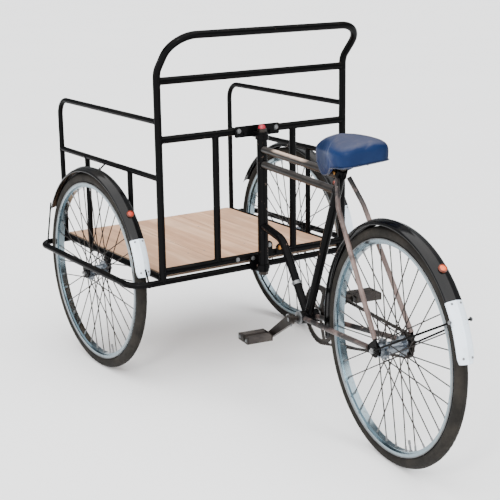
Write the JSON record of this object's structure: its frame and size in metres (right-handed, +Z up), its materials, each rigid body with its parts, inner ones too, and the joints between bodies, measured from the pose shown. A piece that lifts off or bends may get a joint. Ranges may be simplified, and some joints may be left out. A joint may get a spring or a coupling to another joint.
{
  "type": "cargo tricycle",
  "caption": "Pedal cargo tricycle with a railed plywood load bed between two front wheels, a push hoop behind the load, and a steered rear frame with saddle, cranks, chain and driven wheel.",
  "frame": {"origin": "on the ground under the middle of the machine's outer box", "axes": "+X forward over the load bed, +Y left, +Z up"},
  "size_m": [2.0261, 1.004, 1.2315],
  "materials": {
    "black_enamel": "gloss enamel, worn",
    "plywood": "bare plywood",
    "reflector": "moulded lens",
    "saddle_vinyl": "stretched vinyl",
    "bright_steel": "dull plated",
    "oily_steel": "oiled and worn",
    "tyre_rubber": "matt, dusty",
    "rim_steel": "dull chrome",
    "galvanised_steel": "galvanised",
    "pedal_rubber": "ribbed, worn"
  },
  "bodies": {
    "bed": {"base_bars": "black_enamel", "outer_rails": "black_enamel", "floor_side_tubes": "black_enamel", "floor_cross_members": "black_enamel", "floor_boards": "plywood", "hoop": "black_enamel", "hoop_bars": "black_enamel", "panel_rail": "black_enamel", "panel_uprights": "black_enamel", "side_top_rails": "black_enamel", "side_mid_rails": "black_enamel", "side_posts": "black_enamel", "axle_hangers": "black_enamel", "front_axles": "bright_steel", "front_guards": "black_enamel", "front_guard_stays": "black_enamel", "front_reflectors": "reflector", "head_bracket_upper": "black_enamel", "head_bracket_lower": "black_enamel", "steering_column": "bright_steel"},
    "rear_frame": {"head_tube": "black_enamel", "bracket_shell": "black_enamel", "seat_tube": "black_enamel", "top_tubes": "black_enamel", "down_tube": "black_enamel", "chain_stays": "black_enamel", "seat_stays": "black_enamel", "dropouts": "black_enamel", "rear_axle": "bright_steel", "rear_guard": "black_enamel", "rear_guard_stays": "black_enamel", "rear_reflector": "reflector", "chain": "oily_steel", "seat_post": "bright_steel", "saddle_clamp": "bright_steel", "saddle_rails": "bright_steel", "saddle_cover": "saddle_vinyl"},
    "wheel_front_left": {"tyre_front_left": "tyre_rubber", "rim_front_left": "rim_steel", "hub_front_left": "galvanised_steel"},
    "wheel_front_right": {"tyre_front_right": "tyre_rubber", "rim_front_right": "rim_steel", "hub_front_right": "galvanised_steel"},
    "wheel_rear": {"tyre_rear": "tyre_rubber", "rim_rear": "rim_steel", "hub_rear": "galvanised_steel", "rear_sprocket": "oily_steel"},
    "crank_set": {"crank_spindle": "oily_steel", "cranks": "bright_steel", "chainring": "bright_steel", "pedal_axles": "oily_steel"},
    "pedal_left": {"pedal_frame_left": "oily_steel", "pedal_blocks_left": "pedal_rubber"},
    "pedal_right": {"pedal_frame_right": "oily_steel", "pedal_blocks_right": "pedal_rubber"}
  },
  "joints": [
    {"name": "steering", "type": "hinge", "parent": "bed", "child": "rear_frame", "pos_m": [0.19867, 0, 0.6], "axis": [0, 0, 1], "range_deg": [-27.5, 42.5]},
    {"name": "front_left_wheel_spin", "type": "hinge", "parent": "bed", "child": "wheel_front_left", "pos_m": [0.63167, 0.4345, 0.356], "axis": [0, 1, 0], "continuous": true},
    {"name": "front_right_wheel_spin", "type": "hinge", "parent": "bed", "child": "wheel_front_right", "pos_m": [0.63167, -0.4345, 0.356], "axis": [0, 1, 0], "continuous": true},
    {"name": "rear_wheel_spin", "type": "hinge", "parent": "rear_frame", "child": "wheel_rear", "pos_m": [-0.64207, 0.11069, 0.356], "axis": [0.1305, 0.9914, 0], "continuous": true},
    {"name": "crank_spin", "type": "hinge", "parent": "rear_frame", "child": "crank_set", "pos_m": [-0.12652, 0.04281, 0.304], "axis": [0.1305, 0.9914, 0], "continuous": true},
    {"name": "left_pedal_spin", "type": "hinge", "parent": "crank_set", "child": "pedal_left", "pos_m": [0.03102, 0.14714, 0.21141], "axis": [0.1305, 0.9914, 0], "continuous": true},
    {"name": "right_pedal_spin", "type": "hinge", "parent": "crank_set", "child": "pedal_right", "pos_m": [-0.28406, -0.06152, 0.39659], "axis": [0.1305, 0.9914, 0], "continuous": true}
  ]
}
